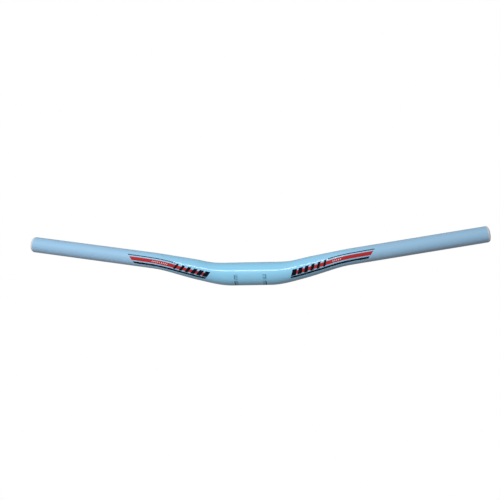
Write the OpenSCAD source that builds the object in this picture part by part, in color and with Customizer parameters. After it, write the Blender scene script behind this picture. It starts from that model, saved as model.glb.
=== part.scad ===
// Riser handlebar for a bicycle: one butted aluminium tube, bent twice on each side and tapered
// from the clamp to the grips, with printed stripes on both arms and a scale on the clamp.
// The origin is the middle of the clamp. X runs along the bar, -Y faces forward and Z is up.

/* [Bar] */
// Overall width, from end to end
bar_width = 640; // [600:5:720]
// Height of the bar ends over the clamp's axis
bar_rise = 38.5; // [34:0.5:48]
// Slope of the rising arms, in degrees
arm_angle = 14.8; // [13:0.2:18]
// Upward sweep of the grips, in degrees
upsweep = 5; // [3:0.5:7]
// Backward sweep of the grips, in degrees
backsweep = 9; // [5:0.5:12]
// Radius of the bend from clamp to arm, at the tube's axis
inner_bend_r = 150; // [90:5:180]
// Radius of the bend from arm to grip, at the tube's axis
outer_bend_r = 110; // [80:5:160]

/* [Tube] */
// Diameter of the clamp
clamp_d = 31.8; // [30:0.1:35]
// Length of the parallel clamp
clamp_len = 52; // [46:1:60]
// Diameter at the shoulder, between the two tapers
shoulder_d = 27.6; // [25:0.1:29]
// Diameter of the grips
grip_d = 22.2; // [21:0.1:24]
// Length of the taper from the clamp to the shoulder
clamp_taper_len = 42; // [30:1:50]
// Length of the taper from the shoulder to the grip
grip_taper_len = 66; // [50:1:80]
// Wall of the tube at the clamp
clamp_wall = 2.6; // [2:0.1:3.4]
// Wall of the tube at the grips
grip_wall = 2.1; // [1.6:0.1:2.8]
// Chamfer round both edges of the cut ends
end_chamfer = 0.5; // [0.2:0.1:0.8]

/* [Printed stripes] */
// Distance along the tube from the clamp to the middle of the first slash's edge
stripe_start = 32; // [20:1:45]
// Distance along the tube from there to the outer end of the black stripe
stripe_len = 105; // [80:1:115]
// Width of the black stripe
stripe_w = 3; // [1.5:0.1:3.5]
// Distance of the black stripe under the front of the tube, near the clamp
stripe_drop = 2.9; // [1:0.1:6]
// Climb of the stripes towards the front line, further out
stripe_climb = 2.4; // [0:0.1:4]
// Gap between the black stripe and the red band
band_gap = 1.6; // [1:0.1:4]
// Width of the red band
band_w = 4.9; // [3:0.1:6]
// Gap between the red band and the thin line over it
line_gap = 1.7; // [1:0.1:4]
// Width of the thin line
line_w = 1.2; // [0.5:0.1:1.5]
// Distance along the tube by which the thin line starts further out than the slashes end
line_start_gap = 2; // [0:0.5:10]
// Lean of the stripes' outer ends, as length per height
end_lean = 0.9; // [0:0.05:1.5]

/* [Printed slashes] */
// Number of slashes over the red band
slash_count = 6; // [3:1:6]
// Height of the slashes
slash_h = 8.2; // [6:0.1:9]
// Distance from one slash to the next
slash_pitch = 9; // [8:0.1:10]
// Width of the slash nearest the clamp
slash_wide = 6.6; // [4:0.1:7.5]
// Width of the slash furthest out
slash_narrow = 3; // [1:0.1:4]
// Lean of the slashes, as length per height
slash_lean = 0.5; // [0:0.05:0.8]

/* [Clamp scale] */
// Distance between the two upright lines of the scale
scale_spread = 44; // [40:0.5:50]
// Length of the scale's ticks
tick_len = 3.6; // [2:0.1:6]
// Width of the scale's ticks
tick_w = 0.5; // [0.3:0.05:0.8]
// Width of the scale's upright lines
upright_w = 0.8; // [0.3:0.05:1.2]
// Angle from one tick to the next, in degrees
tick_step = 7; // [5:0.5:9]
// Number of ticks over the gap in the scale
ticks_over = 4; // [2:1:6]
// Number of ticks under the gap in the scale
ticks_under = 6; // [3:1:7]
// Angle of the middle of the scale's gap under the front line, in degrees
scale_drop = 8; // [0:1:20]

/* [Hidden] */

// Thickness of the printed film, and its clearance from what lies under it
film = 0.05;
film_gap = 0.04;
// The bends and tapers are lofts that reach this far into the straight stretches, by this much slimmer
lap = 1;
loft_inset = 0.02;
// Number of sides and spacing of the rings of the lofts, outside and in the bore
skin_sides = 48;
skin_step = 4;
bore_sides = 28;
bore_step = 8;
// Length and width of the cells of a printed film
film_cell_len = 3;
film_cell_w = 1.1;

// Straight tubes and their bores
clamp_r = clamp_d / 2;
grip_r = grip_d / 2;
clamp_bore_r = clamp_r - clamp_wall;
grip_bore_r = grip_r - grip_wall;

// Directions of the clamp, the arm and the grip, as unit vectors
clamp_dir = [1, 0, 0];
arm_dir = [cos(arm_angle), 0, sin(arm_angle)];
grip_dir = [cos(upsweep) * cos(backsweep), cos(upsweep) * sin(backsweep), sin(upsweep)];

// A bend turns direction a into direction b: its angle, and the unit vector that points at its centre
function unit(v) = v / norm(v);
function bend_angle(a, b) = acos(a * b);
function bend_side(a, b) = unit(b - a * (a * b));
// Place and direction at an angle within a bend, from the bend's beginning
function bend_place(a, b, r, angle) = r * (sin(angle) * a + (1 - cos(angle)) * bend_side(a, b));
function bend_heading(a, b, angle) = cos(angle) * a + sin(angle) * bend_side(a, b);
// Length of an arc, and the angle of a length of arc
function arc_len(r, angle) = r * angle * PI / 180;
function arc_angle(r, len) = len / r * 180 / PI;

inner_angle = bend_angle(clamp_dir, arm_dir);
outer_angle = bend_angle(arm_dir, grip_dir);
inner_step = bend_place(clamp_dir, arm_dir, inner_bend_r, inner_angle);
outer_step = bend_place(arm_dir, grip_dir, outer_bend_r, outer_angle);

// What is left of the half width and of the rise for the straight arm and the straight grip
rest_x = bar_width / 2 - clamp_len / 2 - inner_step.x - outer_step.x;
rest_z = bar_rise - inner_step.z - outer_step.z;
det = arm_dir.x * grip_dir.z - arm_dir.z * grip_dir.x;
arm_len = (rest_x * grip_dir.z - rest_z * grip_dir.x) / det;
grip_len = (rest_z * arm_dir.x - rest_x * arm_dir.z) / det;

// Stations along the axis, measured from the middle of the clamp
clamp_end = clamp_len / 2;
arm_start = clamp_end + arc_len(inner_bend_r, inner_angle);
arm_end = arm_start + arm_len;
grip_start = arm_end + arc_len(outer_bend_r, outer_angle);
bar_end = grip_start + grip_len;
shoulder = clamp_end + clamp_taper_len;
taper_end = shoulder + grip_taper_len;
tube_start = max(grip_start, taper_end);
tube_len = bar_end - tube_start;

// Points of the axis where its straights and bends begin
clamp_point = clamp_end * clamp_dir;
arm_point = clamp_point + inner_step;
outer_point = arm_point + arm_len * arm_dir;
grip_point = outer_point + outer_step;

// Place and direction of the right half's axis at a station
function axis_place(s) =
    let (
        inner = arc_angle(inner_bend_r, s - clamp_end),
        outer = arc_angle(outer_bend_r, s - arm_end)
    )
    s < clamp_end ? s * clamp_dir
    : s < arm_start ? clamp_point + bend_place(clamp_dir, arm_dir, inner_bend_r, inner)
    : s < arm_end ? arm_point + (s - arm_start) * arm_dir
    : s < grip_start ? outer_point + bend_place(arm_dir, grip_dir, outer_bend_r, outer)
    : grip_point + (s - grip_start) * grip_dir;
function axis_heading(s) =
    let (
        inner = arc_angle(inner_bend_r, s - clamp_end),
        outer = arc_angle(outer_bend_r, s - arm_end)
    )
    s < clamp_end ? clamp_dir
    : s < arm_start ? bend_heading(clamp_dir, arm_dir, inner)
    : s < arm_end ? arm_dir
    : s < grip_start ? bend_heading(arm_dir, grip_dir, outer)
    : grip_dir;

// The tube's section: two smooth tapers outside, and a wall that thins over both of them
function ease(t) = let (c = min(1, max(0, t))) c * c * (3 - 2 * c);
function skin_r(s) =
    (clamp_d
     - (clamp_d - shoulder_d) * ease((s - clamp_end) / clamp_taper_len)
     - (shoulder_d - grip_d) * ease((s - shoulder) / grip_taper_len)) / 2;
function wall(s) =
    clamp_wall - (clamp_wall - grip_wall) * ease((s - clamp_end) / (taper_end - clamp_end));

// A point at a station, at a radius and at an angle from the front upwards
function surface_point(s, r, angle) =
    let (
        t = axis_heading(s),
        front = unit([t.y, -t.x, 0]),
        up = cross(front, t)
    )
    axis_place(s) + r * (cos(angle) * front + sin(angle) * up);

// The two triangles of a cell with corners a, b, c and d
function cell(a, b, c, d) = [[a, b, c], [a, c, d]];

// Solid between rings of points, listed from one end to the other
module ring_loft(rings) {
    n = len(rings[0]);
    last = len(rings) - 1;
    points = [for (ring = rings) each ring];
    start_cap = [for (i = [1:n - 2]) [0, i + 1, i]];
    end_cap = [for (i = [1:n - 2]) [last * n, last * n + i, last * n + i + 1]];
    sides = [
        for (k = [0:last - 1], i = [0:n - 1])
            let (a = k * n + i, b = k * n + (i + 1) % n)
            each cell(a, b, b + n, a + n)
    ];
    polyhedron(points, concat(start_cap, end_cap, sides));
}

// Bends and tapers of the right half, from the clamp to the grip, as a solid of the skin or of the bore
module tapered_arm(sides, step, in_bore) {
    start = clamp_end - lap;
    length = tube_start + lap - start;
    count = ceil(length / step);
    rings = [
        for (k = [0:count])
            let (
                s = start + length * k / count,
                r = skin_r(s) - (in_bore ? wall(s) : 0) - loft_inset
            )
            [for (i = [0:sides - 1]) surface_point(s, r, 360 * i / sides)]
    ];
    ring_loft(rings);
}

// Revolved solid of a straight stretch on Z: it narrows into the loft under it, and top is the rest
// of its profile
module straight(r, top) {
    rotate_extrude($fn = 96)
        polygon(concat([[0, -lap], [r - lap, -lap], [r, 0]], top));
}

// The clamp's stretch, which narrows into a loft at both ends
module clamp_straight(r) {
    rotate([0, 90, 0])
        translate([0, 0, -clamp_end])
            straight(r, [[r, clamp_len], [r - lap, clamp_len + lap], [0, clamp_len + lap]]);
}

// Puts a stretch on Z at the start of the straight outer tube, pointing outwards
module at_tube() {
    translate(axis_place(tube_start))
        rotate([0, 90 - upsweep, backsweep])
            children();
}

module both_sides() {
    children();
    mirror([1, 0, 0])
        children();
}

// Outside of the tube
module skin() {
    cut_r = grip_r - end_chamfer;
    clamp_straight(clamp_r);
    both_sides() {
        tapered_arm(skin_sides, skin_step, false);
        at_tube()
            straight(grip_r, [[grip_r, tube_len - end_chamfer], [cut_r, tube_len], [0, tube_len]]);
    }
}

// Inside of the tube, which runs out through both cut ends
module bore() {
    mouth_r = grip_bore_r + end_chamfer;
    past_end = tube_len + lap;
    clamp_straight(clamp_bore_r);
    both_sides() {
        tapered_arm(bore_sides, bore_step, true);
        at_tube()
            straight(
                grip_bore_r,
                [
                    [grip_bore_r, tube_len - end_chamfer],
                    [mouth_r, tube_len],
                    [mouth_r, past_end],
                    [0, past_end]
                ]
            );
    }
}

module handlebar() {
    color("#8ec8ea")
        difference() {
            skin();
            bore();
        }
}

// Levels of the two layers of print over the tube
under_level = film_gap;
over_level = under_level + film + film_gap;

// Stations and heights of the print on the arms: a height is counted along the skin, from the black stripe
print_start = clamp_end + stripe_start;
print_end = print_start + stripe_len;
band_low = stripe_w / 2 + band_gap;
band_high = band_low + band_w;
line_low = band_high + line_gap;
line_high = line_low + line_w;
slash_low = band_low + (band_w - slash_h) / 3;
slash_high = slash_low + slash_h;
slash_mid = (slash_low + slash_high) / 2;
slashes_len = (slash_count - 1) * slash_pitch + slash_narrow;

// Station of the print's inner ends at the black stripe: they lean about the middle of the slashes
function inner_end(lean) = print_start - lean * slash_mid;

// Height of the black stripe over the front line, at a station
function guide(s) = -stripe_drop + stripe_climb * ease((s - print_start) / stripe_len);

// One printed patch between two heights and two ends that lean, as a thin solid that follows the skin
module print_patch(low, high, start, start_lean, end, lean, level) {
    along = ceil((end - start) / film_cell_len);
    across = ceil((high - low) / film_cell_w);
    row = across + 1;
    layer = (along + 1) * row;
    points = [
        for (h = [level, level + film], i = [0:along], j = [0:across])
            let (
                w = low + (high - low) * j / across,
                s0 = start + start_lean * w,
                s1 = end + lean * w,
                s = s0 + (s1 - s0) * i / along
            )
            surface_point(s, skin_r(s) + h, arc_angle(skin_r(s), guide(s) + w))
    ];
    under = [
        for (i = [0:along - 1], j = [0:across - 1])
            let (a = i * row + j)
            each cell(a, a + row, a + row + 1, a + 1)
    ];
    over = [for (f = under) [f[2] + layer, f[1] + layer, f[0] + layer]];
    rim = concat(
        [for (i = [0:along - 1]) i * row],
        [for (j = [0:across - 1]) along * row + j],
        [for (i = [along:-1:1]) i * row + across],
        [for (j = [across:-1:1]) j]
    );
    edge = [
        for (k = [0:len(rim) - 1])
            let (a = rim[k], b = rim[(k + 1) % len(rim)])
            each cell(a, a + layer, b + layer, b)
    ];
    polyhedron(points, concat(under, over, edge));
}

// Red band of one arm; lean turns its inner end to the right on both arms
module band(lean) {
    color("#c0282a")
        print_patch(band_low, band_high, inner_end(lean), lean, print_end, end_lean, under_level);
}

// Black print of one arm: the stripe under the band, the thin line over it and the slashes on it
module stripes(lean) {
    inner = inner_end(lean);
    line_start = inner + slashes_len + line_start_gap;
    color("#10141a") {
        print_patch(-stripe_w / 2, stripe_w / 2, inner, lean, print_end, end_lean, over_level);
        print_patch(line_low, line_high, line_start, lean, print_end, end_lean, over_level);
        for (k = [0:slash_count - 1]) {
            start = inner + k * slash_pitch;
            width = slash_wide + (slash_narrow - slash_wide) * k / (slash_count - 1);
            print_patch(slash_low, slash_high, start, lean, start + width, lean, over_level);
        }
    }
}

module left_band_red() {
    mirror([1, 0, 0])
        band(-slash_lean);
}

module left_stripes_black() {
    mirror([1, 0, 0])
        stripes(-slash_lean);
}

module right_band_red() {
    band(slash_lean);
}

module right_stripes_black() {
    stripes(slash_lean);
}

// Film round the clamp from x to x + width, between two angles from the front upwards
module clamp_film(x, width, from, to) {
    low = clamp_r + film_gap;
    translate([x + width, 0, 0])
        rotate([90, 0, -90])
            rotate([0, 0, from])
                rotate_extrude(angle = to - from, $fn = 96)
                    translate([low, 0])
                        square([film, width]);
}

// One column of the scale, on the right: an upright line in two lengths, with ticks on its inner side
module scale_column() {
    line_x = scale_spread / 2 - upright_w / 2;
    tick_x = line_x - tick_w - tick_len;
    half_tick = arc_angle(clamp_r, tick_w) / 2;
    for (dir = [-1, 1]) {
        count = dir > 0 ? ticks_over : ticks_under;
        for (k = [1:count]) {
            at = dir * k * tick_step - scale_drop;
            clamp_film(tick_x, tick_len, at - half_tick, at + half_tick);
        }
        near = dir * tick_step - scale_drop;
        far = dir * count * tick_step - scale_drop;
        clamp_film(line_x, upright_w, min(near, far) - half_tick, max(near, far) + half_tick);
    }
}

module clamp_scale() {
    color("#2c4a5c")
        both_sides()
            scale_column();
}

handlebar();
left_band_red();
left_stripes_black();
right_band_red();
right_stripes_black();
clamp_scale();
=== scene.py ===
"""Riser handlebar: one lacquered tube, bent and tapered, with printed stripes.

The tube is laid out straight, by station along its axis, and is then bent along the
axis by Geometry Nodes. The print is laid out flat, rolled on the tube's skin and bent
with it. All sizes are in metres. They repeat the driving sizes of the CAD part, except
for those that a comment gives as the scene's own.
"""

import math

import bpy
from mathutils import Matrix, Vector


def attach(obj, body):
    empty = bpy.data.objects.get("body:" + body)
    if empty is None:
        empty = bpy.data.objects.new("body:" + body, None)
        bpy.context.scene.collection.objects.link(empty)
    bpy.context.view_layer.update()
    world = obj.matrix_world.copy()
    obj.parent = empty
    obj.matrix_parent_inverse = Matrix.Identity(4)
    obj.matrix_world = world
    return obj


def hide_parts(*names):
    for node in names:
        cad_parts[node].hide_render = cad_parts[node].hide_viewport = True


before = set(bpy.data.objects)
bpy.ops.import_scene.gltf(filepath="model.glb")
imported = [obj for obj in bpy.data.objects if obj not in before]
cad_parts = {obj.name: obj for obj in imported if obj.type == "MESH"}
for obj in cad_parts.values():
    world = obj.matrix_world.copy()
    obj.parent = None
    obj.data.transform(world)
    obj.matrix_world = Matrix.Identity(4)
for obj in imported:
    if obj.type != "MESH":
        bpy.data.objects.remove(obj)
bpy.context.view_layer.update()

MM = 0.001
SIDES = {"left": -1.0, "right": 1.0}

# The bar.
BAR_HALF_WIDTH = 320 * MM
BAR_RISE = 38.5 * MM
CLAMP_DIAMETER = 31.8 * MM
SHOULDER_DIAMETER = 27.6 * MM   # between the two tapers
GRIP_DIAMETER = 22.2 * MM
CLAMP_WALL = 2.6 * MM
GRIP_WALL = 2.1 * MM

# The cut ends. The lip is the scene's own.
END_CHAMFER = 0.5 * MM          # of the bore's mouth
LIP_LENGTH = 2.8 * MM           # rounding of the outer edge, along the tube
LIP_DEPTH = 1.6 * MM            # and into its wall
BARE_LIP = 0.2 * MM             # how far short of the rounding the lacquer stops

# The bends: from the straight clamp up to the arm, then round to the grip.
BEND_START = 26 * MM
INNER_BEND_RADIUS = 150 * MM
OUTER_BEND_RADIUS = 110 * MM
ARM_ANGLE = math.radians(14.8)
UPSWEEP = math.radians(5)
BACKSWEEP = math.radians(9)

# The tapers, as stations along the axis from the middle.
CLAMP_TAPER = (26 * MM, 68 * MM)
GRIP_TAPER = (68 * MM, 134 * MM)
WALL_TAPER = (26 * MM, 134 * MM)

# The print of an arm. Heights are round the skin, from the middle of the black stripe.
PRINT_START = 58 * MM
PRINT_LENGTH = 105 * MM
STRIPE_DROP = 2.9 * MM          # how far under the front of the tube the stripe starts
STRIPE_CLIMB = 2.4 * MM         # and how much higher it ends
STRIPE_WIDTH = 2.7 * MM         # the scene's own
BAND_GAP = 1.75 * MM            # the scene's own, to keep the band where the part has it
BAND_WIDTH = 4.9 * MM
BAND_LOW = STRIPE_WIDTH / 2 + BAND_GAP
LINE_GAP = 1.7 * MM
LINE_WIDTH = 1.2 * MM
LINE_LOW = BAND_LOW + BAND_WIDTH + LINE_GAP
END_LEAN = 0.9                  # of the outer ends: metres along for each metre up

# The slanted bars over the band, which narrow outwards.
SLASH_COUNT = 6
SLASH_PITCH = 9 * MM
SLASH_WIDE = 6.6 * MM
SLASH_NARROW = 3 * MM
SLASH_HEIGHT = 8.2 * MM
SLASH_LEAN = 0.5
SLASH_LOW = BAND_LOW - (SLASH_HEIGHT - BAND_WIDTH) / 3      # a third of the rest is below
SLASH_MIDDLE = SLASH_LOW + SLASH_HEIGHT / 2
LINE_CLEARANCE = 2 * MM         # from the last slanted bar to the thin line
LINE_START = PRINT_START + (SLASH_COUNT - 1) * SLASH_PITCH + SLASH_NARROW + LINE_CLEARANCE

# How each arm's print was put on: the scene's own.
PRINT_LIFT = {"left": -0.7 * MM, "right": 0.0}
PRINT_REACH = {"left": 2 * MM, "right": -1.4 * MM}          # of the outer ends

# The small pale dashes on the red band: the scene's own.
DASH_WIDTH = 0.8 * MM
DASH_HEIGHT = 1.6 * MM
DASH_PITCH = 2.45 * MM
DASH_START = {"left": 116.5 * MM, "right": 115.6 * MM}
DASH_COUNT = {"left": 9, "right": 5}

# The scale on the clamp: an upright with ticks, over and under a gap.
SCALE_REACH = 22 * MM
UPRIGHT_WIDTH = 0.8 * MM
LOWER_UPRIGHT_WIDTH = 1.2 * MM  # the scene's own
TICK_WIDTH = 0.5 * MM
TICK_LENGTH = 3.6 * MM
TICK_STEP = math.radians(7)
SCALE_GAP = math.radians(-8)
TICKS_OVER = 4
TICKS_UNDER = 6

# The films: how high each ink stands over the lacquer, and how deep its root is in it.
RED_TOP = 0.05 * MM
BLACK_TOP = 0.09 * MM
FILM_ROOT = -0.15 * MM

# How fine the meshes are.
AXIS_STEP = 1 * MM
SKIN_STEP = 2.5 * MM
BORE_STEP = 8 * MM
LIP_STEPS = 5
TUBE_SIDES = 96
FILM_CELL = 1 * MM
MOST_CELLS = 110
WELD_DISTANCE = 0.001 * MM
TUBE_CREASE = math.radians(25)
FILM_CREASE = math.radians(40)

# Colours, from 0 to 255 in sRGB: the darker and the lighter tone of each finish.
BLUE = (139, 206, 239), (145, 210, 243)
# Painted shade: the lacquer's tone on the grips, greyer where less light reaches them.
BLUE_SHADED_AT_GRIPS = (154, 196, 227)
RED = (171, 43, 43), (183, 50, 50)
BLACK = (1, 8, 20), (5, 14, 30)
SCALE_BLUE = (18, 58, 92), (28, 70, 104)
PALE = (214, 226, 236), (230, 238, 244)
CUT_METAL_TONES = (218, 223, 228), (244, 246, 248)
BORE_METAL_TONES = (172, 176, 182), (208, 212, 216)


# The bar's axis.

def straight(heading, length):
    """Offsets along a straight stretch."""
    count = max(1, round(length / AXIS_STEP))
    return [heading * length * k / count for k in range(1, count + 1)]


def bend(heading, target, radius):
    """Offsets round a bend that turns heading into target."""
    turn = heading.angle(target)
    pivot = heading.cross(target).normalized()
    centre = pivot.cross(heading) * radius
    count = max(1, round(turn * radius / AXIS_STEP))
    return [centre - Matrix.Rotation(turn * k / count, 3, pivot) @ centre
            for k in range(1, count + 1)]


def bar_axis():
    """Points along the bar's axis, from the left end to the right end."""
    clamp = Vector((1, 0, 0))
    arm = Vector((math.cos(ARM_ANGLE), 0, math.sin(ARM_ANGLE)))
    grip = Vector((math.cos(UPSWEEP) * math.cos(BACKSWEEP),
                   math.cos(UPSWEEP) * math.sin(BACKSWEEP),
                   math.sin(UPSWEEP)))
    half_clamp = straight(clamp, BEND_START)
    inner_bend = bend(clamp, arm, INNER_BEND_RADIUS)
    outer_bend = bend(arm, grip, OUTER_BEND_RADIUS)

    # arm_length * arm + grip_length * grip covers what these leave in x and z.
    covered = half_clamp[-1] + inner_bend[-1] + outer_bend[-1]
    run_left = BAR_HALF_WIDTH - covered.x
    rise_left = BAR_RISE - covered.z
    det = arm.x * grip.z - arm.z * grip.x
    arm_length = (run_left * grip.z - rise_left * grip.x) / det
    grip_length = (arm.x * rise_left - arm.z * run_left) / det

    points = [Vector((0, 0, 0))]
    for stretch in (half_clamp, inner_bend, straight(arm, arm_length), outer_bend,
                    straight(grip, grip_length)):
        start = points[-1]
        points += [start + offset for offset in stretch]
    mirrored = [Vector((-p.x, p.y, p.z)) for p in reversed(points[1:])]
    return mirrored + points


def linked_object(name, data):
    """A new object in the scene, at the origin."""
    made = bpy.data.objects.new(name, data)
    bpy.context.scene.collection.objects.link(made)
    return made


def axis_curve(points):
    """The axis as a curve that the node trees read."""
    curve = bpy.data.curves.new("bar_axis", "CURVE")
    curve.dimensions = "3D"
    spline = curve.splines.new("POLY")
    spline.points.add(len(points) - 1)
    for control, point in zip(spline.points, points):
        control.co = (*point, 1)
    return linked_object("bar_axis", curve)


axis_points = bar_axis()
AXIS_LENGTH = sum((b - a).length for a, b in zip(axis_points, axis_points[1:]))
HALF_LENGTH = AXIS_LENGTH / 2
axis_object = axis_curve(axis_points)


# Short ways to write nodes.

def add(tree, kind, sockets=(), **settings):
    """Adds a node. sockets maps an input's name or number to a value or to an output."""
    made = tree.nodes.new(kind)
    for name, value in settings.items():
        setattr(made, name, value)
    for key, value in dict(sockets).items():
        if isinstance(value, bpy.types.NodeSocket):
            tree.links.new(value, made.inputs[key])
        else:
            made.inputs[key].default_value = value
    return made


def calc(tree, operation, *values):
    """A Math node on the values."""
    return add(tree, "ShaderNodeMath", dict(enumerate(values)), operation=operation).outputs[0]


def vector_calc(tree, operation, *vectors):
    """A Vector Math node on the vectors."""
    return add(tree, "ShaderNodeVectorMath", dict(enumerate(vectors)),
               operation=operation).outputs[0]


def scaled(tree, vector, factor):
    return add(tree, "ShaderNodeVectorMath", {0: vector, "Scale": factor},
               operation="SCALE").outputs[0]


def components(tree, vector):
    return add(tree, "ShaderNodeSeparateXYZ", {0: vector}).outputs


def eased(tree, value, start, end, amount):
    """amount times a smooth step of value from start to end."""
    return add(tree, "ShaderNodeMapRange",
               {"Value": value, "From Min": start, "From Max": end,
                "To Min": 0.0, "To Max": amount},
               interpolation_type="SMOOTHSTEP").outputs["Result"]


def stored(tree, geometry, name, value, kind, domain):
    """The geometry with value kept in it as a named attribute."""
    return add(tree, "GeometryNodeStoreNamedAttribute",
               {"Geometry": geometry, "Name": name, "Value": value},
               data_type=kind, domain=domain).outputs["Geometry"]


def recalled(tree, name, kind):
    """What was kept in the geometry under the name."""
    return add(tree, "GeometryNodeInputNamedAttribute", {"Name": name},
               data_type=kind).outputs[0]


def floats(sizes):
    """A tree's number inputs, from a table of labels and sizes."""
    return [(label, "Float", size) for label, size in sizes.items()]


def new_tree(name, inputs, output):
    """A Geometry Nodes tree with named inputs and one output; returns it and its ends."""
    tree = bpy.data.node_groups.new(name, "GeometryNodeTree")
    for label, kind, default in inputs:
        made = tree.interface.new_socket(label, in_out="INPUT",
                                         socket_type="NodeSocket" + kind)
        if default is not None:
            made.default_value = default
    label, kind = output
    tree.interface.new_socket(label, in_out="OUTPUT", socket_type="NodeSocket" + kind)
    given = tree.nodes.new("NodeGroupInput").outputs
    return tree, given, tree.nodes.new("NodeGroupOutput").inputs[label]


# Rules of shape that the tube and its print share.

TAPER_SIZES = {
    "Clamp Diameter": CLAMP_DIAMETER,
    "Shoulder Diameter": SHOULDER_DIAMETER,
    "Grip Diameter": GRIP_DIAMETER,
    "Clamp Taper Start": CLAMP_TAPER[0],
    "Clamp Taper End": CLAMP_TAPER[1],
    "Grip Taper Start": GRIP_TAPER[0],
    "Grip Taper End": GRIP_TAPER[1],
}


def skin_radius_group():
    """The radius of the tapered tube's skin at a station along the axis."""
    tree, given, result = new_tree(
        "skin radius", floats({"Station": 0.0, **TAPER_SIZES}), ("Radius", "Float"))
    along = calc(tree, "ABSOLUTE", given["Station"])
    first_step = calc(tree, "SUBTRACT", given["Clamp Diameter"], given["Shoulder Diameter"])
    second_step = calc(tree, "SUBTRACT", given["Shoulder Diameter"], given["Grip Diameter"])
    first = eased(tree, along, given["Clamp Taper Start"], given["Clamp Taper End"], first_step)
    second = eased(tree, along, given["Grip Taper Start"], given["Grip Taper End"], second_step)
    diameter = calc(tree, "SUBTRACT", given["Clamp Diameter"], calc(tree, "ADD", first, second))
    tree.links.new(calc(tree, "DIVIDE", diameter, 2.0), result)
    return tree


def place_on_bar_group():
    """Moves points to a station along the axis, at an angle over its front and a radius."""
    tree, given, result = new_tree(
        "place on the bar",
        [("Geometry", "Geometry", None), ("Axis", "Object", None),
         *floats({"Axis Length": AXIS_LENGTH, "Station": 0.0, "Angle": 0.0, "Radius": 0.0})],
        ("Geometry", "Geometry"))
    axis = add(tree, "GeometryNodeObjectInfo", {"Object": given["Axis"]}).outputs["Geometry"]
    share = calc(tree, "ADD", calc(tree, "DIVIDE", given["Station"], given["Axis Length"]), 0.5)
    on_axis = add(tree, "GeometryNodeSampleCurve", {"Curves": axis, "Factor": share},
                  mode="FACTOR", use_all_curves=True).outputs
    heading = vector_calc(tree, "NORMALIZE", on_axis["Tangent"])
    front = vector_calc(tree, "NORMALIZE",
                        vector_calc(tree, "CROSS_PRODUCT", heading, (0, 0, 1)))
    up = vector_calc(tree, "CROSS_PRODUCT", front, heading)
    forward = calc(tree, "MULTIPLY", given["Radius"], calc(tree, "COSINE", given["Angle"]))
    upward = calc(tree, "MULTIPLY", given["Radius"], calc(tree, "SINE", given["Angle"]))
    offset = vector_calc(tree, "ADD", scaled(tree, front, forward), scaled(tree, up, upward))
    place = vector_calc(tree, "ADD", on_axis["Position"], offset)
    moved = add(tree, "GeometryNodeSetPosition",
                {"Geometry": given["Geometry"], "Position": place})
    tree.links.new(moved.outputs[0], result)
    return tree


SKIN_RADIUS = skin_radius_group()
PLACE_ON_BAR = place_on_bar_group()


def skin_radius(tree, given, station):
    tapers = {label: given[label] for label in TAPER_SIZES}
    return add(tree, "GeometryNodeGroup", {"Station": station, **tapers},
               node_tree=SKIN_RADIUS).outputs["Radius"]


def placed_on_bar(tree, given, geometry, station, angle, radius):
    return add(tree, "GeometryNodeGroup",
               {"Geometry": geometry, "Axis": given["Axis"], "Station": station,
                "Angle": angle, "Radius": radius},
               node_tree=PLACE_ON_BAR).outputs["Geometry"]


# The finishes.

def linear(colour):
    """A colour given as 0 to 255 in sRGB, in the linear values that shaders take."""
    def channel(value):
        value /= 255
        return value / 12.92 if value <= 0.04045 else ((value + 0.055) / 1.055) ** 2.4
    return (*map(channel, colour), 1.0)


def new_material(name, **sockets):
    """A material whose shader has the values given, such as Coat_Weight."""
    made = bpy.data.materials.new(name)
    made.use_nodes = True
    tree = made.node_tree
    shader = tree.nodes["Principled BSDF"]
    for key, value in sockets.items():
        shader.inputs[key.replace("_", " ")].default_value = value
    return made, tree, shader


def on_object(tree):
    return add(tree, "ShaderNodeTexCoord").outputs["Object"]


def on_map(tree, scale):
    """The piece's own map, in metres round the tube and along it, stretched by scale."""
    uv = add(tree, "ShaderNodeUVMap", uv_map="UVMap").outputs["UV"]
    return add(tree, "ShaderNodeMapping", {"Vector": uv, "Scale": scale}).outputs[0]


def noise(tree, vector, scale, detail, roughness=0.5):
    return add(tree, "ShaderNodeTexNoise",
               {"Vector": vector, "Scale": scale, "Detail": detail,
                "Roughness": roughness}).outputs["Fac"]


def between(tree, share, tones, start=0.0, end=1.0):
    """A colour that goes from the first tone to the second as share goes from start to end."""
    ramp = add(tree, "ShaderNodeValToRGB", {"Fac": share})
    for stop, tone, position in zip(ramp.color_ramp.elements, tones, (start, end)):
        stop.color = linear(tone)
        stop.position = position
    return ramp.outputs["Color"]


def paint(tree, shader, colour):
    tree.links.new(colour, shader.inputs["Base Color"])


def dulled(tree, shader, share, least, most):
    """Roughness that goes from least to most with share."""
    dull = add(tree, "ShaderNodeMapRange", {"Value": share, "To Min": least, "To Max": most})
    tree.links.new(dull.outputs["Result"], shader.inputs["Roughness"])


def bumped(tree, shader, height, distance, strength):
    bump = add(tree, "ShaderNodeBump",
               {"Height": height, "Distance": distance, "Strength": strength})
    tree.links.new(bump.outputs["Normal"], shader.inputs["Normal"])


def orange_peel(tree, shader, where):
    """The slight ripple that sprayed lacquer keeps."""
    ripple = noise(tree, where, scale=420.0, detail=1.5)
    bumped(tree, shader, ripple, distance=0.012 * MM, strength=0.3)


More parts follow.
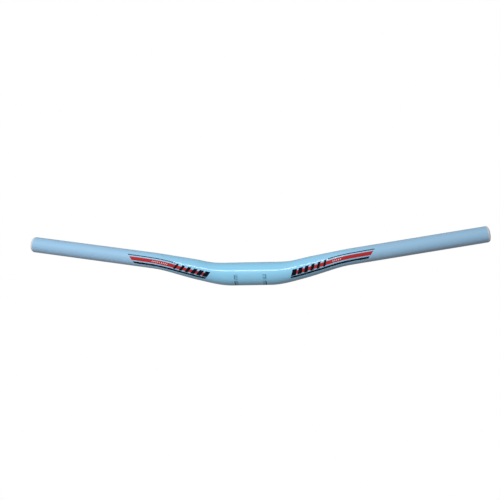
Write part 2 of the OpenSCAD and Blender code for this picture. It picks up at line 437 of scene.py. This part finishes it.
def lacquer():
    """Light-blue gloss: a sprayed colour under clear lacquer."""
    made, tree, shader = new_material(
        "light_blue_lacquer", Roughness=0.34, Coat_Weight=1.0, Coat_Roughness=0.05,
        IOR=1.46, Coat_IOR=1.5)
    where = on_object(tree)
    cloud = between(tree, noise(tree, where, scale=14.0, detail=3.0), BLUE, start=0.3, end=0.7)
    # Painted shade: the colour is a little greyer on the grips than in the middle, standing in
    # for the light that falls off towards the ends.
    reach = calc(tree, "ABSOLUTE", components(tree, where)["X"])
    grip_shade = eased(tree, reach, start=40 * MM, end=200 * MM, amount=1.0)
    # A Mix node's colours are its inputs 6 and 7 and its output 2.
    shaded_blue = add(tree, "ShaderNodeMix",
                {"Factor": grip_shade, 6: cloud, 7: linear(BLUE_SHADED_AT_GRIPS)}, data_type="RGBA")
    paint(tree, shader, shaded_blue.outputs[2])
    orange_peel(tree, shader, where)
    return made


def ink(name, tones):
    """Screen print, less glossy than the lacquer under it, with the slight mottle of ink."""
    made, tree, shader = new_material(
        name, Roughness=0.4, Specular_IOR_Level=0.2, Coat_Weight=0.12, Coat_Roughness=0.1,
        IOR=1.46, Coat_IOR=1.5)
    where = on_object(tree)
    mottle = noise(tree, where, scale=900.0, detail=3.0)
    paint(tree, shader, between(tree, mottle, tones, start=0.35, end=0.65))
    orange_peel(tree, shader, where)
    return made


def cut_aluminium():
    """The sawn and turned ends: bare metal with fine rings round the axis."""
    made, tree, shader = new_material("cut_aluminium", Metallic=0.3, Specular_IOR_Level=0.5)
    rings = on_map(tree, scale=(2.0, 5200.0, 1.0))
    turned = noise(tree, rings, scale=1.0, detail=4.0, roughness=0.6)
    paint(tree, shader, between(tree, turned, CUT_METAL_TONES))
    dulled(tree, shader, turned, least=0.26, most=0.46)
    bumped(tree, shader, turned, distance=0.02 * MM, strength=0.8)
    return made


def drawn_aluminium():
    """The bore: drawn metal with long die lines and a dull oxide bloom."""
    made, tree, shader = new_material("drawn_aluminium", Metallic=0.35, Specular_IOR_Level=0.5)
    lines = on_map(tree, scale=(2600.0, 14.0, 1.0))
    drawn = noise(tree, lines, scale=1.0, detail=3.0, roughness=0.6)
    bloom = noise(tree, on_object(tree), scale=160.0, detail=4.0)
    paint(tree, shader, between(tree, drawn, BORE_METAL_TONES))
    dulled(tree, shader, bloom, least=0.36, most=0.62)
    bumped(tree, shader, drawn, distance=0.02 * MM, strength=0.7)
    return made


LACQUER = lacquer()
RED_INK = ink("red_ink", RED)
BLACK_INK = ink("black_ink", BLACK)
SCALE_INK = ink("scale_ink", SCALE_BLUE)
PALE_INK = ink("pale_ink", PALE)
CUT_METAL = cut_aluminium()
BORE_METAL = drawn_aluminium()


# From node trees to plain meshes.

def set_inputs(modifier, values):
    """Sets a modifier's inputs by their labels, through the sockets' identifiers."""
    names = {item.name: item.identifier for item in modifier.node_group.interface.items_tree
             if item.item_type == "SOCKET" and item.in_out == "INPUT"}
    for label, value in values.items():
        modifier[names[label]] = value


def plain_mesh(name, source, leftovers, crease):
    """The evaluated result as a plain mesh object in place of its source."""
    seen = source.evaluated_get(bpy.context.evaluated_depsgraph_get())
    mesh = bpy.data.meshes.new_from_object(seen)
    mesh.name = name
    made = linked_object(name, mesh)
    bpy.data.objects.remove(source)
    for leftover in leftovers:
        if leftover in mesh.attributes:
            mesh.attributes.remove(mesh.attributes[leftover])
    mesh.set_sharp_from_angle(angle=crease)
    return made


# The tube.

SKIN, RIM, BORE = 0, 1, 2


def wall_at(station):
    """The thickness of the butted wall, which thins smoothly from the clamp to the grips."""
    share = (abs(station) - WALL_TAPER[0]) / (WALL_TAPER[1] - WALL_TAPER[0])
    share = min(max(share, 0), 1)
    return CLAMP_WALL + (GRIP_WALL - CLAMP_WALL) * share * share * (3 - 2 * share)


def tube_outline():
    """The closed outline of the tube's wall: (station, height over the skin, finish).

    Each point's finish is that of the face from it to the next point.
    """
    lip = HALF_LENGTH - LIP_LENGTH

    def stations(inside, step):
        count = round(2 * inside / step)
        return [-inside + 2 * inside * k / count for k in range(count + 1)]

    def cut_end(side):
        turns = [math.radians(90 * k / LIP_STEPS) for k in range(1, LIP_STEPS + 1)]
        rounding = [(side * (lip + LIP_LENGTH * math.sin(turn)),
                     LIP_DEPTH * (math.cos(turn) - 1), RIM) for turn in turns]
        return rounding + [(side * HALF_LENGTH, END_CHAMFER - GRIP_WALL, RIM)]

    skin = [(station, 0.0, SKIN) for station in stations(lip, SKIN_STEP)[1:-1]]
    bore = [(station, -wall_at(station), BORE)
            for station in reversed(stations(HALF_LENGTH - END_CHAMFER, BORE_STEP))]
    bore[-1] = (*bore[-1][:2], RIM)
    return [(-lip, 0.0, RIM), (BARE_LIP - lip, 0.0, SKIN), *skin,
            (lip - BARE_LIP, 0.0, RIM), (lip, 0.0, RIM),
            *cut_end(1), *bore, *reversed(cut_end(-1))]


def outline_object(outline):
    """The outline's points as a mesh that the tube's tree reads."""
    mesh = bpy.data.meshes.new("tube_outline")
    mesh.from_pydata([(station, 0, height) for station, height, part in outline], [], [])
    parts = mesh.attributes.new("part", "INT", "POINT")
    parts.data.foreach_set("value", [part for station, height, part in outline])
    return linked_object("tube_outline", mesh)


def tube_tree():
    """Carries the wall's outline round the axis, one ring of points for each of its points."""
    tree, given, result = new_tree(
        "tube",
        [("Geometry", "Geometry", None), ("Axis", "Object", None), ("Sides", "Int", TUBE_SIDES),
         ("Skin Material", "Material", None), ("Rim Material", "Material", None),
         ("Bore Material", "Material", None), *floats(TAPER_SIZES)],
        ("Geometry", "Geometry"))
    outline = given["Geometry"]
    rings = add(tree, "GeometryNodeAttributeDomainSize",
                {"Geometry": outline}).outputs["Point Count"]
    grid = add(tree, "GeometryNodeMeshGrid",
               {"Size X": 1.0, "Size Y": 1.0,
                "Vertices X": calc(tree, "ADD", given["Sides"], 1.0),
                "Vertices Y": calc(tree, "ADD", rings, 1.0)}).outputs["Mesh"]
    spot = add(tree, "GeometryNodeInputPosition").outputs[0]
    on_grid = components(tree, spot)
    turn = calc(tree, "ADD", on_grid["X"], 0.5)
    ring = calc(tree, "MULTIPLY", calc(tree, "ADD", on_grid["Y"], 0.5), rings)
    number = calc(tree, "MODULO", calc(tree, "ROUND", ring), rings)
    sampled = components(tree, add(
        tree, "GeometryNodeSampleIndex", {"Geometry": outline, "Value": spot, "Index": number},
        data_type="FLOAT_VECTOR").outputs["Value"])
    station, height = sampled["X"], sampled["Z"]

    # The map of the surface: metres round the tube, and metres along the outline.
    girth = calc(tree, "MULTIPLY", given["Grip Diameter"], math.pi)
    uv = add(tree, "ShaderNodeCombineXYZ",
             {"X": calc(tree, "MULTIPLY", turn, girth),
              "Y": calc(tree, "ADD", station, height)}).outputs[0]
    shaped = stored(tree, grid, "UVMap", uv, "FLOAT2", "CORNER")

    # Each face takes its finish from the outline's point that it starts at.
    face_ring = calc(tree, "FLOOR", add(tree, "GeometryNodeFieldOnDomain", {0: ring},
                                        data_type="FLOAT", domain="FACE").outputs[0])
    face_part = add(tree, "GeometryNodeSampleIndex",
                    {"Geometry": outline, "Value": recalled(tree, "part", "INT"),
                     "Index": face_ring}, data_type="INT").outputs["Value"]
    shaped = stored(tree, shaped, "finish", face_part, "INT", "FACE")

    radius = calc(tree, "ADD", skin_radius(tree, given, station), height)
    shaped = placed_on_bar(tree, given, shaped, station,
                           calc(tree, "MULTIPLY", turn, math.tau), radius)
    shaped = add(tree, "GeometryNodeMergeByDistance",
                 {"Geometry": shaped, "Distance": WELD_DISTANCE}).outputs["Geometry"]
    # The grid's faces come out inwards.
    shaped = add(tree, "GeometryNodeFlipFaces", {"Mesh": shaped}).outputs[0]
    shaped = add(tree, "GeometryNodeSetShadeSmooth", {"Geometry": shaped}).outputs[0]
    shaped = add(tree, "GeometryNodeRealizeInstances", {"Geometry": shaped}).outputs[0]
    finish = recalled(tree, "finish", "INT")
    for part, label in ((SKIN, "Skin Material"), (RIM, "Rim Material"), (BORE, "Bore Material")):
        # A Compare node's whole numbers are its inputs 2 and 3.
        here = add(tree, "FunctionNodeCompare", {2: finish, 3: part},
                   data_type="INT", operation="EQUAL").outputs[0]
        shaped = add(tree, "GeometryNodeSetMaterial",
                     {"Geometry": shaped, "Selection": here, "Material": given[label]}).outputs[0]
    tree.links.new(shaped, result)
    return tree


def build_tube():
    source = outline_object(tube_outline())
    modifier = source.modifiers.new("tube", "NODES")
    modifier.node_group = tube_tree()
    set_inputs(modifier, {"Axis": axis_object, "Sides": TUBE_SIDES, "Skin Material": LACQUER,
                          "Rim Material": CUT_METAL, "Bore Material": BORE_METAL})
    return plain_mesh("handlebar_tube", source, ["finish"], TUBE_CREASE)


# The print.

def print_tree():
    """A row of slanted bars of ink on the tube's skin, added to what the piece already has."""
    tree, given, result = new_tree(
        "printed row",
        [("Geometry", "Geometry", None), ("Axis", "Object", None), ("Ink", "Material", None),
         ("Count", "Int", 1), ("Most Cells", "Int", MOST_CELLS),
         *floats({"Side": 1.0, "Start": 0.0, "Step Along": 0.0, "Step Round": 0.0,
                  "First Width": 1 * MM, "Last Width": 1 * MM, "Low": 0.0, "High": 1 * MM,
                  "Inner Lean": 0.0, "Outer Lean": 0.0, "Follow Arm": 1.0,
                  "Drop": STRIPE_DROP, "Climb": STRIPE_CLIMB, "Climb Start": PRINT_START,
                  "Climb End": PRINT_START + PRINT_LENGTH, "Root": FILM_ROOT,
                  "Top": RED_TOP, "Cell": FILM_CELL, **TAPER_SIZES})],
        ("Geometry", "Geometry"))

    def corners(length):
        return calc(tree, "ADD", calc(
            tree, "CEIL", calc(tree, "DIVIDE", length, given["Cell"])), 1.0)

    # One bar as a block of cells, 1 by 1 by 1, and a row of such blocks.
    across = calc(tree, "SUBTRACT", given["High"], given["Low"])
    block = add(tree, "GeometryNodeMeshCube",
                {"Size": (1, 1, 1), "Vertices Y": corners(across), "Vertices Z": 2,
                 "Vertices X": calc(tree, "MINIMUM", corners(given["First Width"]),
                                    given["Most Cells"])}).outputs["Mesh"]
    block = stored(tree, block, "flat", add(tree, "GeometryNodeInputPosition").outputs[0],
                   "FLOAT_VECTOR", "POINT")
    row = add(tree, "GeometryNodeMeshLine", {"Count": given["Count"], "Offset": (1, 0, 0)},
              mode="OFFSET").outputs["Mesh"]
    row = add(tree, "GeometryNodeInstanceOnPoints", {"Points": row, "Instance": block}).outputs[0]
    row = stored(tree, row, "turn", add(tree, "GeometryNodeInputIndex").outputs[0],
                 "FLOAT", "INSTANCE")
    row = add(tree, "GeometryNodeRealizeInstances", {"Geometry": row}).outputs[0]
    turn = recalled(tree, "turn", "FLOAT")
    flat = components(tree, recalled(tree, "flat", "FLOAT_VECTOR"))

    # How wide this bar is, and where in its width the point lies.
    last = calc(tree, "MAXIMUM", calc(tree, "SUBTRACT", given["Count"], 1.0), 1.0)
    growth = calc(tree, "SUBTRACT", given["Last Width"], given["First Width"])
    width = calc(tree, "ADD", given["First Width"],
                 calc(tree, "MULTIPLY", calc(tree, "DIVIDE", turn, last), growth))
    share = calc(tree, "ADD", flat["X"], 0.5)

    # Height over the guide line, and station along the axis, moved over by the lean.
    middle = calc(tree, "MULTIPLY", calc(tree, "ADD", given["Low"], given["High"]), 0.5)
    height = calc(tree, "ADD", middle, calc(tree, "MULTIPLY", flat["Y"], across))
    lean_change = calc(tree, "SUBTRACT", given["Outer Lean"], given["Inner Lean"])
    lean = calc(tree, "ADD", given["Inner Lean"], calc(tree, "MULTIPLY", share, lean_change))
    station = calc(tree, "ADD", given["Start"],
                   calc(tree, "MULTIPLY", turn, given["Step Along"]))
    station = calc(tree, "ADD", station, calc(tree, "MULTIPLY", share, width))
    station = calc(tree, "ADD", station, calc(tree, "MULTIPLY", height, lean))

    # The guide line climbs along the arm.
    climb = eased(tree, station, given["Climb Start"], given["Climb End"], given["Climb"])
    guide = calc(tree, "MULTIPLY", calc(tree, "SUBTRACT", climb, given["Drop"]),
                 given["Follow Arm"])
    steps_round = calc(tree, "MULTIPLY", turn, given["Step Round"])
    round_skin = calc(tree, "ADD", height, calc(tree, "ADD", guide, steps_round))

    skin = skin_radius(tree, given, station)
    depth = calc(tree, "MULTIPLY", calc(tree, "ADD", flat["Z"], 0.5),
                 calc(tree, "SUBTRACT", given["Top"], given["Root"]))
    radius = calc(tree, "ADD", skin, calc(tree, "ADD", given["Root"], depth))
    shaped = placed_on_bar(tree, given, row, calc(tree, "MULTIPLY", station, given["Side"]),
                           calc(tree, "DIVIDE", round_skin, skin), radius)
    # The left side is a mirror image, so its faces are turned back outwards.
    mirrored = calc(tree, "LESS_THAN", given["Side"], 0.0)
    turned = add(tree, "GeometryNodeFlipFaces", {"Mesh": shaped}).outputs[0]
    shaped = add(tree, "GeometryNodeSwitch",
                 {"Switch": mirrored, "False": shaped, "True": turned},
                 input_type="GEOMETRY").outputs[0]
    shaped = add(tree, "GeometryNodeSetShadeSmooth", {"Geometry": shaped}).outputs[0]
    shaped = add(tree, "GeometryNodeSetMaterial",
                 {"Geometry": shaped, "Material": given["Ink"]}).outputs[0]
    joined = tree.nodes.new("GeometryNodeJoinGeometry")
    tree.links.new(given["Geometry"], joined.inputs[0])
    tree.links.new(shaped, joined.inputs[0])
    tree.links.new(joined.outputs[0], result)
    return tree


PRINTED_ROW = print_tree()


def print_piece(name, material, rows):
    """One piece of print: a modifier for each row of ink, then one plain mesh."""
    source = linked_object(name + "_rows", bpy.data.meshes.new(name + "_rows"))
    for row in rows:
        modifier = source.modifiers.new("row", "NODES")
        modifier.node_group = PRINTED_ROW
        set_inputs(modifier, {"Axis": axis_object, "Ink": material, **row})
    return plain_mesh(name, source, ["flat", "turn"], FILM_CREASE)


def arm_print(label):
    """The print of one arm: the red band, the black stripe, line and slanted bars, the dashes."""
    side = SIDES[label]
    lean = side * SLASH_LEAN        # so that every bar leans to the right
    shift = -lean * SLASH_MIDDLE    # so that it leans about its middle
    lift = PRINT_LIFT[label]
    outer_end = PRINT_START + PRINT_LENGTH + PRINT_REACH[label]

    def field(start, low, width, top):
        """One long field of colour, out to the print's outer end."""
        start += shift
        return {"Side": side, "Start": start, "First Width": outer_end - start,
                "Last Width": outer_end - start, "Low": low + lift,
                "High": low + lift + width, "Inner Lean": lean, "Outer Lean": END_LEAN,
                "Top": top}

    def bars(start, pitch, count, first, last, low, height):
        """A row of slanted bars."""
        return {"Side": side, "Start": start + shift, "Step Along": pitch, "Count": count,
                "First Width": first, "Last Width": last, "Low": low + lift,
                "High": low + lift + height, "Inner Lean": lean, "Outer Lean": lean,
                "Top": BLACK_TOP}

    band = field(PRINT_START, BAND_LOW, BAND_WIDTH, RED_TOP)
    stripe = field(PRINT_START, -STRIPE_WIDTH / 2, STRIPE_WIDTH, BLACK_TOP)
    line = field(LINE_START, LINE_LOW, LINE_WIDTH, BLACK_TOP)
    slashes = bars(PRINT_START, SLASH_PITCH, SLASH_COUNT, SLASH_WIDE, SLASH_NARROW,
                   SLASH_LOW, SLASH_HEIGHT)
    dashes = bars(DASH_START[label], DASH_PITCH, DASH_COUNT[label], DASH_WIDTH, DASH_WIDTH,
                  BAND_LOW + (BAND_WIDTH - DASH_HEIGHT) / 2, DASH_HEIGHT)
    return (print_piece(label + "_red_band", RED_INK, [band]),
            print_piece(label + "_black_stripes", BLACK_INK, [stripe, line, slashes]),
            print_piece(label + "_pale_dashes", PALE_INK, [dashes]))


def clamp_scale():
    """Two columns of marks, by which the stem and the bar's tilt are lined up."""
    rows = []
    radius = CLAMP_DIAMETER / 2
    tick_start = SCALE_REACH - UPRIGHT_WIDTH - TICK_WIDTH - TICK_LENGTH
    for side in SIDES.values():
        for first, count, upright in ((1, TICKS_OVER, UPRIGHT_WIDTH),
                                      (-TICKS_UNDER, TICKS_UNDER, LOWER_UPRIGHT_WIDTH)):
            low = radius * (SCALE_GAP + first * TICK_STEP) - TICK_WIDTH / 2
            high = low + radius * (count - 1) * TICK_STEP + TICK_WIDTH
            column = {"Side": side, "Follow Arm": 0.0, "Top": RED_TOP, "Low": low}
            rows.append({**column, "Start": SCALE_REACH - upright, "High": high,
                         "First Width": upright, "Last Width": upright})
            rows.append({**column, "Count": count, "Step Round": radius * TICK_STEP,
                         "Start": tick_start, "High": low + TICK_WIDTH,
                         "First Width": TICK_LENGTH, "Last Width": TICK_LENGTH})
    return print_piece("clamp_marks", SCALE_INK, rows)


# The pieces, and the CAD nodes that they stand for.

tube = build_tube()
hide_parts("handlebar")
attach(tube, "root")

for label in SIDES:
    red, black, dashes = arm_print(label)
    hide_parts(label + "_band_red")
    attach(red, "root")
    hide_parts(label + "_stripes_black")
    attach(black, "root")
    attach(dashes, "root")

marks = clamp_scale()
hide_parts("clamp_scale")
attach(marks, "root")

bpy.data.objects.remove(axis_object)


# Floor, light and camera.

FLOOR_HALF_SIZE = 6.0
FLOOR_DROP = 0.6
FLOOR_GREY = (0.30, 0.26, 0.26)
WORLD_STRENGTH = 0.12
BACKDROP_IN_GLOSS = 0.15        # a dim room: what the gloss mirrors in the photograph

# Soft lamps, aimed at the clamp: place, width, height and power. One that isn't mirrored
# lights the bar without a streak of its own in the gloss.
LAMPS = {
    "key": {"place": (-0.62, -1.26, 1.42), "width": 1.8, "height": 1.3, "power": 39.5,
            "mirrored": False},
    "behind": {"place": (0.2, 1.9, 0.5), "width": 1.8, "height": 1.2, "power": 13,
               "mirrored": False},
    "strip": {"place": (-0.10, -0.5, 0.75), "width": 0.34, "height": 0.10, "power": 1.1,
              "mirrored": True},
}

# The camera that fits the bar's outline in the photograph.
CAMERA_ELEVATION = math.radians(22.89)
CAMERA_AZIMUTH = math.radians(8.17)
CAMERA_ROLL = math.radians(-4.41)
CAMERA_DISTANCE = 0.99264
CAMERA_TARGET = Vector((0.53 * MM, 0.59 * MM, 35.45 * MM))
FOCAL_PIXELS = 727.9
IMAGE_PIXELS = 500
SENSOR_MILLIMETRES = 36


def backdrop_share(tree):
    """How far a ray sees the white backdrop: the camera in full, a reflection dimly."""
    path = add(tree, "ShaderNodeLightPath").outputs
    dimmed = calc(tree, "MULTIPLY", path["Is Glossy Ray"], BACKDROP_IN_GLOSS)
    seen = calc(tree, "MAXIMUM", path["Is Camera Ray"], dimmed)
    return calc(tree, "MAXIMUM", seen, path["Is Transmission Ray"])


def backed_by_white(tree, lit, white_kind, surface):
    """Shows plain white for backdrop_share of each ray, and lit for the rest."""
    white = add(tree, white_kind, {"Color": (1, 1, 1, 1), "Strength": 1.0})
    mix = add(tree, "ShaderNodeMixShader",
              {0: backdrop_share(tree), 1: lit.outputs[0], 2: white.outputs[0]})
    tree.links.new(mix.outputs[0], surface)


def pale_floor():
    """A white floor well below the bar: white to the camera, greyer in its light."""
    size = FLOOR_HALF_SIZE
    corners = [(x, y, -FLOOR_DROP)
               for x, y in ((-size, -size), (size, -size), (size, size), (-size, size))]
    mesh = bpy.data.meshes.new("floor")
    mesh.from_pydata(corners, [], [(0, 1, 2, 3)])
    floor = linked_object("floor", mesh)
    material, tree, shader = new_material(
        "pale_floor", Roughness=0.9, Specular_IOR_Level=0.0, Base_Color=(*FLOOR_GREY, 1))
    backed_by_white(tree, shader, "ShaderNodeEmission",
                    tree.nodes["Material Output"].inputs["Surface"])
    mesh.materials.append(material)


def studio_world():
    """White to the camera, dim in reflections, and a soft grey as light."""
    world = bpy.data.worlds.new("studio")
    world.use_nodes = True
    tree = world.node_tree
    light = tree.nodes["Background"]
    light.inputs["Color"].default_value = (1, 1, 1, 1)
    light.inputs["Strength"].default_value = WORLD_STRENGTH
    backed_by_white(tree, light, "ShaderNodeBackground",
                    tree.nodes["World Output"].inputs["Surface"])
    bpy.context.scene.world = world


def softbox(name, place, width, height, power, mirrored):
    """A rectangular lamp, aimed at the clamp."""
    lamp = bpy.data.lights.new(name, "AREA")
    lamp.shape = "RECTANGLE"
    lamp.size = width
    lamp.size_y = height
    lamp.energy = power
    made = linked_object(name, lamp)
    made.location = place
    made.rotation_euler = (-Vector(place)).to_track_quat("-Z", "Y").to_euler()
    made.visible_camera = False
    made.visible_glossy = mirrored


def photo_camera():
    back = Vector((math.sin(CAMERA_AZIMUTH) * math.cos(CAMERA_ELEVATION),
                   -math.cos(CAMERA_AZIMUTH) * math.cos(CAMERA_ELEVATION),
                   math.sin(CAMERA_ELEVATION)))
    right = (-back).cross(Vector((0, 0, 1))).normalized()
    up = right.cross(-back)
    rolled_right = right * math.cos(CAMERA_ROLL) + up * math.sin(CAMERA_ROLL)
    rolled_up = up * math.cos(CAMERA_ROLL) - right * math.sin(CAMERA_ROLL)
    lens = bpy.data.cameras.new("photo_camera")
    lens.sensor_width = SENSOR_MILLIMETRES
    lens.lens = FOCAL_PIXELS / IMAGE_PIXELS * SENSOR_MILLIMETRES
    lens.clip_start = 0.05
    lens.clip_end = 50
    camera = linked_object("photo_camera", lens)
    turned = Matrix((rolled_right, rolled_up, back)).transposed().to_4x4()
    camera.matrix_world = Matrix.Translation(CAMERA_TARGET + back * CAMERA_DISTANCE) @ turned
    bpy.context.scene.camera = camera


pale_floor()
studio_world()
for name, lamp in LAMPS.items():
    softbox(name, **lamp)
photo_camera()
bpy.context.scene.view_settings.view_transform = "Standard"
